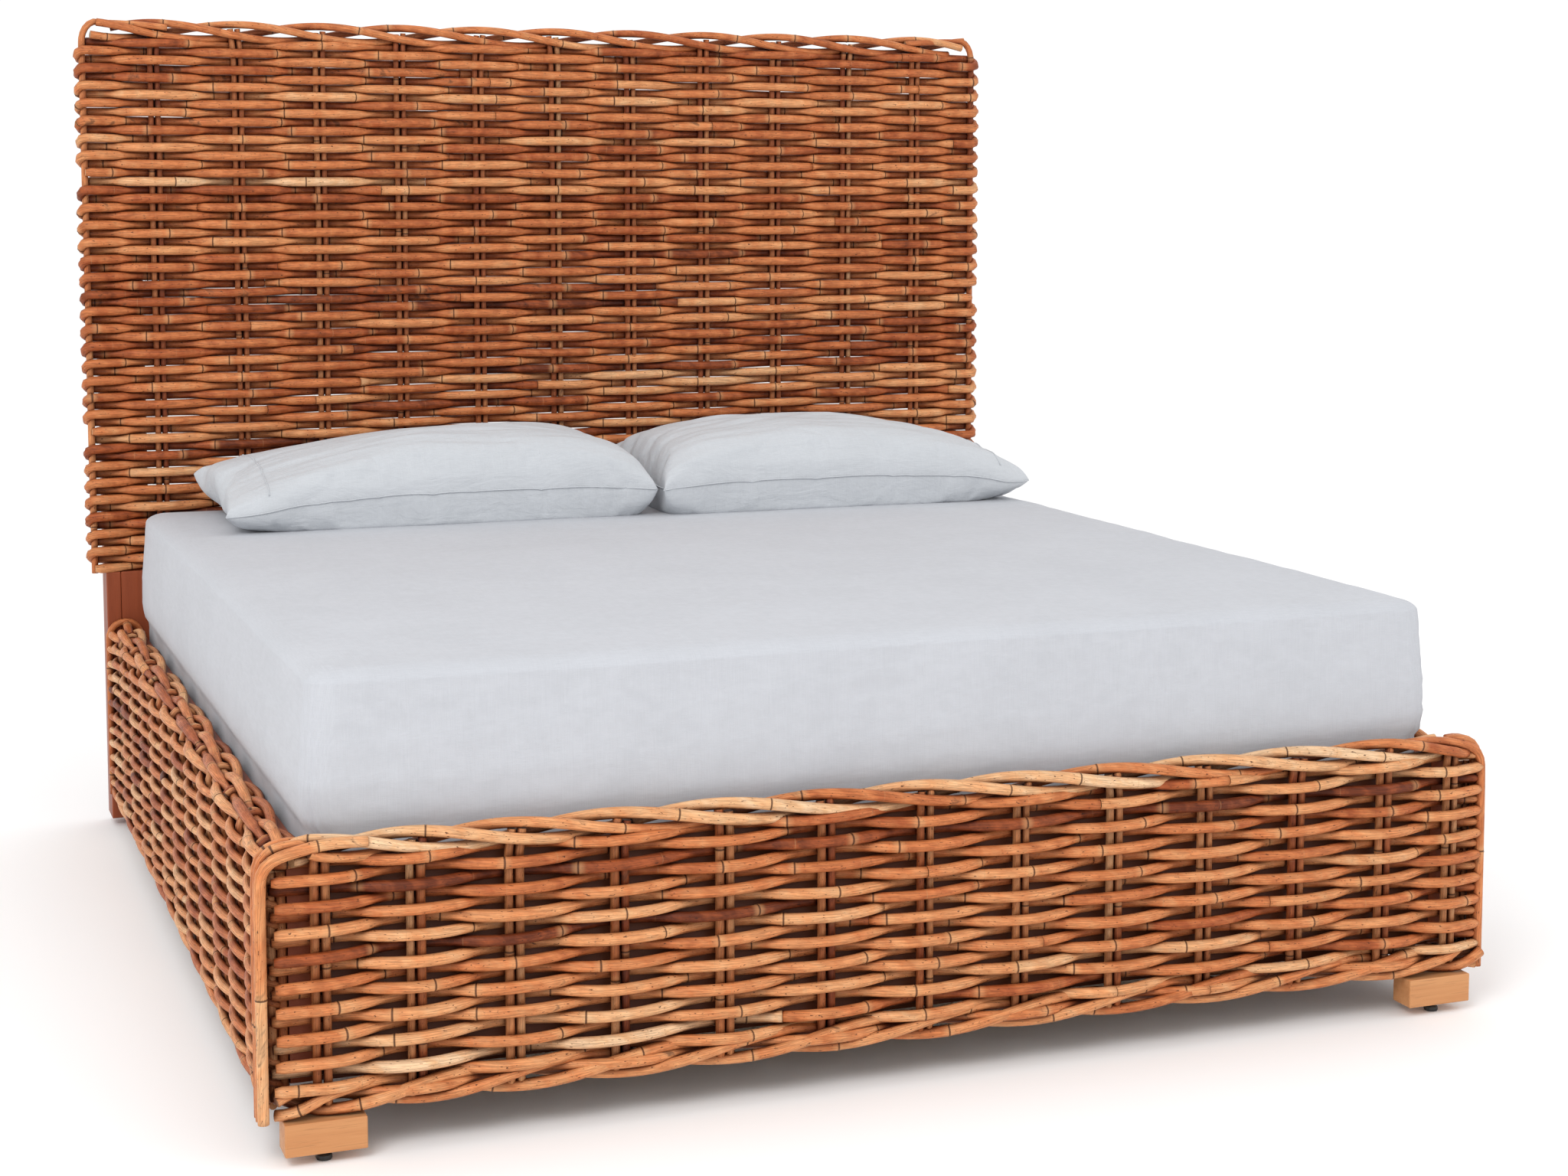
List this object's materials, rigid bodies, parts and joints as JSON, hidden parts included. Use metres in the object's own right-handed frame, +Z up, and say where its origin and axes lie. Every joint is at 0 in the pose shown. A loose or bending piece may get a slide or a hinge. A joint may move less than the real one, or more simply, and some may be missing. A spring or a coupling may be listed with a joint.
{
  "type": "bed",
  "caption": "King-size bed woven from rattan rods, with a tall headboard, low footboard, woven side rails, slatted base, mattress and pillows.",
  "frame": {"origin": "on the floor under the middle of the bed's overall box", "axes": "+Y runs from the foot end to the headboard, +X is to the right seen from the foot end, +Z is up"},
  "size_m": [2.164, 2.24, 1.795],
  "materials": {
    "rattan": "semi-matt, woven peeled rattan rods",
    "rattan_stakes": "semi-matt, upright rattan rods",
    "post_wood": "satin, reddish laminated hardwood",
    "beech": "satin, oiled beech",
    "softwood": "planed pine",
    "leveller_plastic": "matt black moulded plastic",
    "mattress_ticking": "quilted ticking",
    "sheet_linen": "plain-weave white sheet",
    "pillow_linen": "washed white linen with a hemstitched hem"
  },
  "bodies": {
    "bed_frame": {"post_left_outer_stave": "post_wood", "post_left_inner_stave": "post_wood", "edge_pole_left": "rattan", "post_right_outer_stave": "post_wood", "post_right_inner_stave": "post_wood", "edge_pole_right": "rattan", "headboard_upper_rail": "post_wood", "headboard_lower_rail": "post_wood", "head_end_rail": "post_wood", "headboard_weave_front": "rattan", "headboard_weave_back": "rattan", "headboard_stakes": "rattan_stakes", "headboard_top_border": "rattan", "footboard_weave_front": "rattan", "footboard_weave_back": "rattan", "footboard_stakes": "rattan_stakes", "footboard_inner_board": "post_wood", "footboard_top_border": "rattan", "footboard_bottom_border": "rattan", "foot_block_left": "beech", "end_pole_left_front": "rattan", "end_pole_left_back": "rattan", "side_rail_left_board": "post_wood", "side_rail_left_ledge": "softwood", "side_rail_left_weave": "rattan", "side_rail_left_stakes": "rattan_stakes", "side_rail_left_top_braid": "rattan", "side_rail_left_end_trim": "rattan", "foot_block_right": "beech", "end_pole_right_front": "rattan", "end_pole_right_back": "rattan", "side_rail_right_board": "post_wood", "side_rail_right_ledge": "softwood", "side_rail_right_weave": "rattan", "side_rail_right_stakes": "rattan_stakes", "side_rail_right_top_braid": "rattan", "side_rail_right_end_trim": "rattan", "centre_beam": "softwood", "centre_leg_1": "softwood", "centre_leg_2": "softwood", "slat_01": "softwood", "slat_02": "softwood", "slat_03": "softwood", "slat_04": "softwood", "slat_05": "softwood", "slat_06": "softwood", "slat_07": "softwood", "slat_08": "softwood", "slat_09": "softwood", "slat_10": "softwood"},
    "leveller_head_left_screw": {"leveller_head_left": "leveller_plastic"},
    "leveller_head_right_screw": {"leveller_head_right": "leveller_plastic"},
    "leveller_foot_left_screw": {"leveller_foot_left": "leveller_plastic"},
    "leveller_foot_right_screw": {"leveller_foot_right": "leveller_plastic"},
    "leveller_centre_1_screw": {"leveller_centre_1": "leveller_plastic"},
    "leveller_centre_2_screw": {"leveller_centre_2": "leveller_plastic"},
    "mattress_set": {"mattress": "mattress_ticking", "fitted_sheet": "sheet_linen"},
    "pillow_left_body": {"pillow_left": "pillow_linen"},
    "pillow_right_body": {"pillow_right": "pillow_linen"}
  },
  "joints": [
    {"name": "leveller_head_left_travel", "type": "slide", "parent": "bed_frame", "child": "leveller_head_left_screw", "axis": [0, 0, -1], "range_m": [0, 0.012]},
    {"name": "leveller_head_right_travel", "type": "slide", "parent": "bed_frame", "child": "leveller_head_right_screw", "axis": [0, 0, -1], "range_m": [0, 0.012]},
    {"name": "leveller_foot_left_travel", "type": "slide", "parent": "bed_frame", "child": "leveller_foot_left_screw", "axis": [0, 0, -1], "range_m": [0, 0.012]},
    {"name": "leveller_foot_right_travel", "type": "slide", "parent": "bed_frame", "child": "leveller_foot_right_screw", "axis": [0, 0, -1], "range_m": [0, 0.012]},
    {"name": "leveller_centre_1_travel", "type": "slide", "parent": "bed_frame", "child": "leveller_centre_1_screw", "axis": [0, 0, -1], "range_m": [0, 0.012]},
    {"name": "leveller_centre_2_travel", "type": "slide", "parent": "bed_frame", "child": "leveller_centre_2_screw", "axis": [0, 0, -1], "range_m": [0, 0.012]},
    {"name": "mattress_lift", "type": "slide", "parent": "bed_frame", "child": "mattress_set", "axis": [0, 0, 1], "range_m": [0, 0.4]},
    {"name": "pillow_left_lift", "type": "slide", "parent": "mattress_set", "child": "pillow_left_body", "axis": [0, 0, 1], "range_m": [0, 0.25]},
    {"name": "pillow_right_lift", "type": "slide", "parent": "mattress_set", "child": "pillow_right_body", "axis": [0, 0, 1], "range_m": [0, 0.25]}
  ]
}
